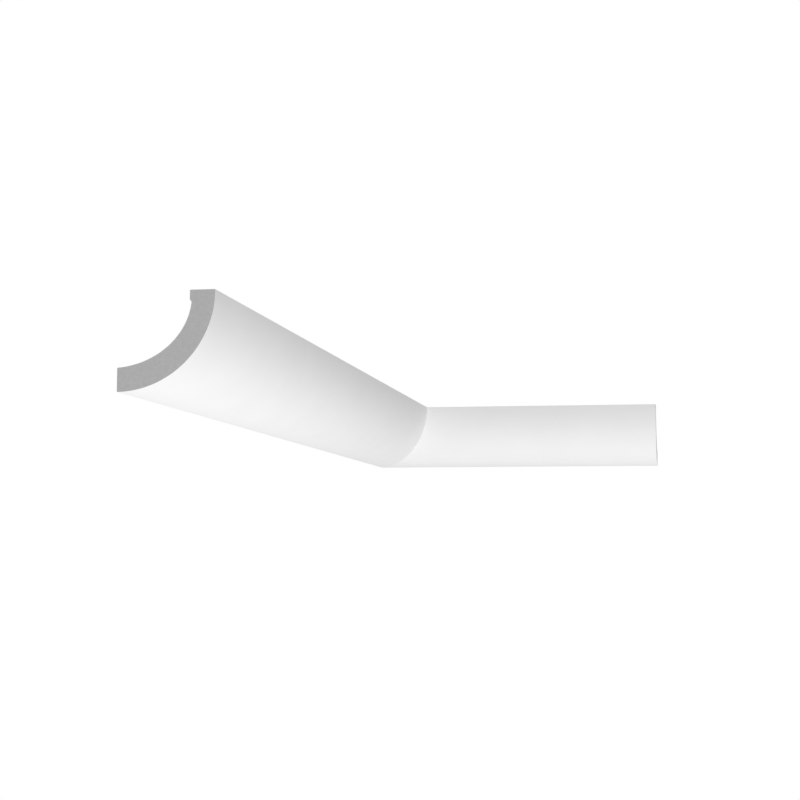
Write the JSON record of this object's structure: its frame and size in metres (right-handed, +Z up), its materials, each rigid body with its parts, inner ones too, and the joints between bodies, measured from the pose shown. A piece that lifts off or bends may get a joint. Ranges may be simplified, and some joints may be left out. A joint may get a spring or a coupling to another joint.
{
  "type": "light cove cornice with internal corner",
  "caption": "Quarter-round light cove cornice that turns an internal corner at a mitre, with an open trough behind its lip for a light strip.",
  "frame": {"origin": "middle of the long length's wall face, half way up that face and half way along it", "axes": "+X out of the long length's wall into the room, +Y along that wall to the corner, +Z up"},
  "size_m": [0.707, 2, 0.143],
  "materials": {
    "coated_foam": "matte white factory coat on the faces, bare grey sawn foam on the square ends"
  },
  "bodies": {
    "root": {"left_length": "coated_foam", "right_length": "coated_foam"}
  },
  "joints": []
}
